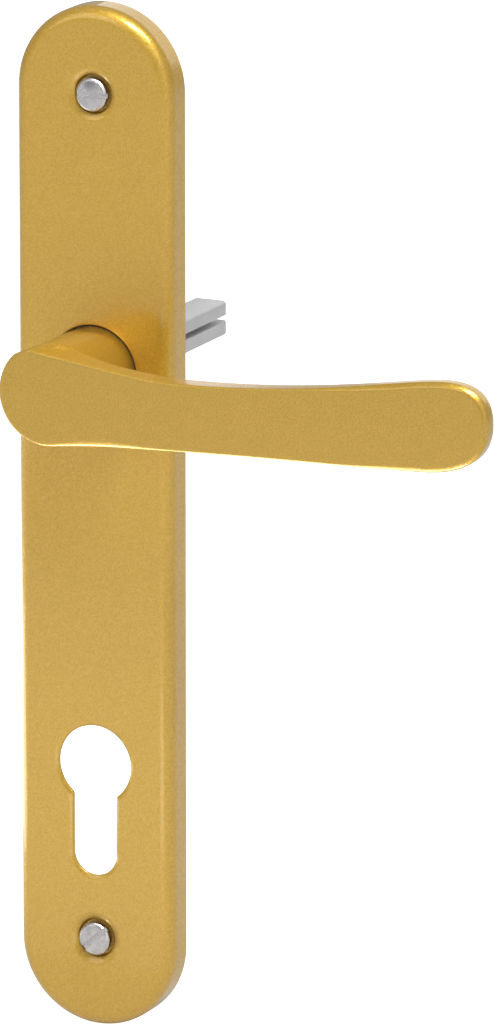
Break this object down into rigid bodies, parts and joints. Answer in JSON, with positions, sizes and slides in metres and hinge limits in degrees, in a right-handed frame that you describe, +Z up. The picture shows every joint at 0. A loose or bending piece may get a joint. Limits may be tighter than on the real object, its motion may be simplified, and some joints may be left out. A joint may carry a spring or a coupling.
{
  "type": "lever door handle on a long backplate",
  "caption": "Lever door handle on a long round-ended backplate with a euro profile cylinder cutout, slotted fixing screws and a split square spindle.",
  "frame": {"origin": "on the lever's turning axis, in the plane of the door face", "axes": "-Y out of the door towards the user, +Z up the door, +X along the lever towards its tip"},
  "size_m": [0.125, 0.086, 0.233],
  "materials": {
    "gold_finish": "satin gold metallic lacquer with fine flake",
    "gold_finish_lever": "satin gold metallic lacquer with fine flake",
    "base_nylon": "moulded black-grey nylon",
    "cassette_steel": "zinc-plated pressed steel",
    "pin_steel": "turned steel",
    "bush_plastic": "natural acetal",
    "spring_steel": "drawn spring wire",
    "screw_steel": "bright nickel-plated turned steel",
    "washer_plastic": "natural polythene",
    "spindle_metal": "drawn bright bar, zinc plated",
    "grub_steel": "black oxide",
    "driver_zinc": "die-cast zinc",
    "ring_steel": "phosphated spring steel"
  },
  "bodies": {
    "plate": {"cover_plate": "gold_finish", "base_plate": "base_nylon", "cassette_cup": "cassette_steel", "cassette_lid": "cassette_steel", "stop_pins": "pin_steel", "neck_bush": "base_nylon", "return_spring": "spring_steel", "upper_fixing_screw": "screw_steel", "lower_fixing_screw": "screw_steel", "upper_screw_washer": "washer_plastic", "lower_screw_washer": "washer_plastic"},
    "lever": {"lever_handle": "gold_finish_lever", "spindle": "spindle_metal", "spindle_grub_screw": "grub_steel", "spring_driver": "driver_zinc", "thrust_washer": "bush_plastic", "spring_washer": "spring_steel", "retaining_ring": "ring_steel"}
  },
  "joints": [
    {"name": "lever_turn", "type": "hinge", "parent": "plate", "child": "lever", "pos_m": [0, 0, 0], "axis": [0, 1, 0], "range_deg": [0, 45], "stiffness_Nm_per_rad": 0.9, "springref_deg": -20.05, "deforming": ["return_spring"]}
  ]
}
